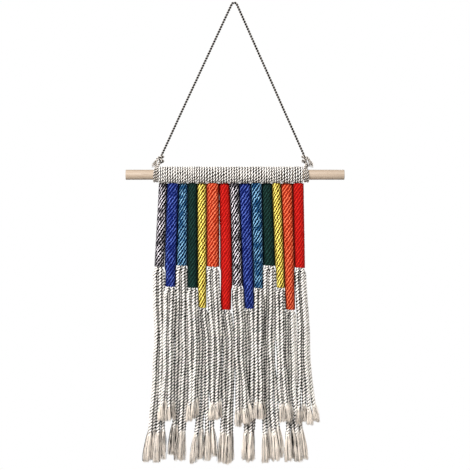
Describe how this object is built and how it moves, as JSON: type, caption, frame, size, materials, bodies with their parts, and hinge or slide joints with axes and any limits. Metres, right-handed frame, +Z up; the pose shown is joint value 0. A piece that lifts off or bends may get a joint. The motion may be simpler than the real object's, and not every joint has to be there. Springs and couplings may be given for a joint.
{
  "type": "macrame wall hanging on a dowel",
  "caption": "Macrame wall hanging: cotton cords knotted over a wooden dowel, wrapped in coloured yarn and combed into a fringe, on a thin hanging cord.",
  "frame": {"origin": "the hook on the wall, under the bend of the hanging cord", "axes": "+Z up, from the fringe to the hook; +X along the dowel; the front faces -Y and the wall is at +Y"},
  "size_m": [0.2624, 0.0242, 0.558],
  "materials": {
    "wood": "plain sanded light wood",
    "cotton": "natural twisted cotton cord, combed at its ends",
    "hanger_cotton": "thin natural twisted cotton cord",
    "yarn_grey": "heather grey yarn",
    "yarn_royal": "royal blue yarn",
    "yarn_steel": "steel blue yarn",
    "yarn_green": "dark green yarn",
    "yarn_yellow": "mustard yellow yarn",
    "yarn_orange": "orange yarn",
    "yarn_red": "red yarn"
  },
  "bodies": {
    "root": {"dowel": "wood", "cords_01": "cotton", "wrap_01": "yarn_grey", "cords_02": "cotton", "wrap_02": "yarn_royal", "cords_03": "cotton", "wrap_03": "yarn_steel", "cords_04": "cotton", "wrap_04": "yarn_green", "cords_05": "cotton", "wrap_05": "yarn_yellow", "cords_06": "cotton", "wrap_06": "yarn_orange", "cords_07": "cotton", "wrap_07": "yarn_red", "cords_08": "cotton", "wrap_08": "yarn_grey", "cords_09": "cotton", "wrap_09": "yarn_royal", "cords_10": "cotton", "wrap_10": "yarn_steel", "cords_11": "cotton", "wrap_11": "yarn_green", "cords_12": "cotton", "wrap_12": "yarn_yellow", "cords_13": "cotton", "wrap_13": "yarn_orange", "cords_14": "cotton", "wrap_14": "yarn_red", "hanging_cord": "hanger_cotton", "cord_knot_left": "hanger_cotton", "cord_knot_right": "hanger_cotton"}
  },
  "joints": []
}
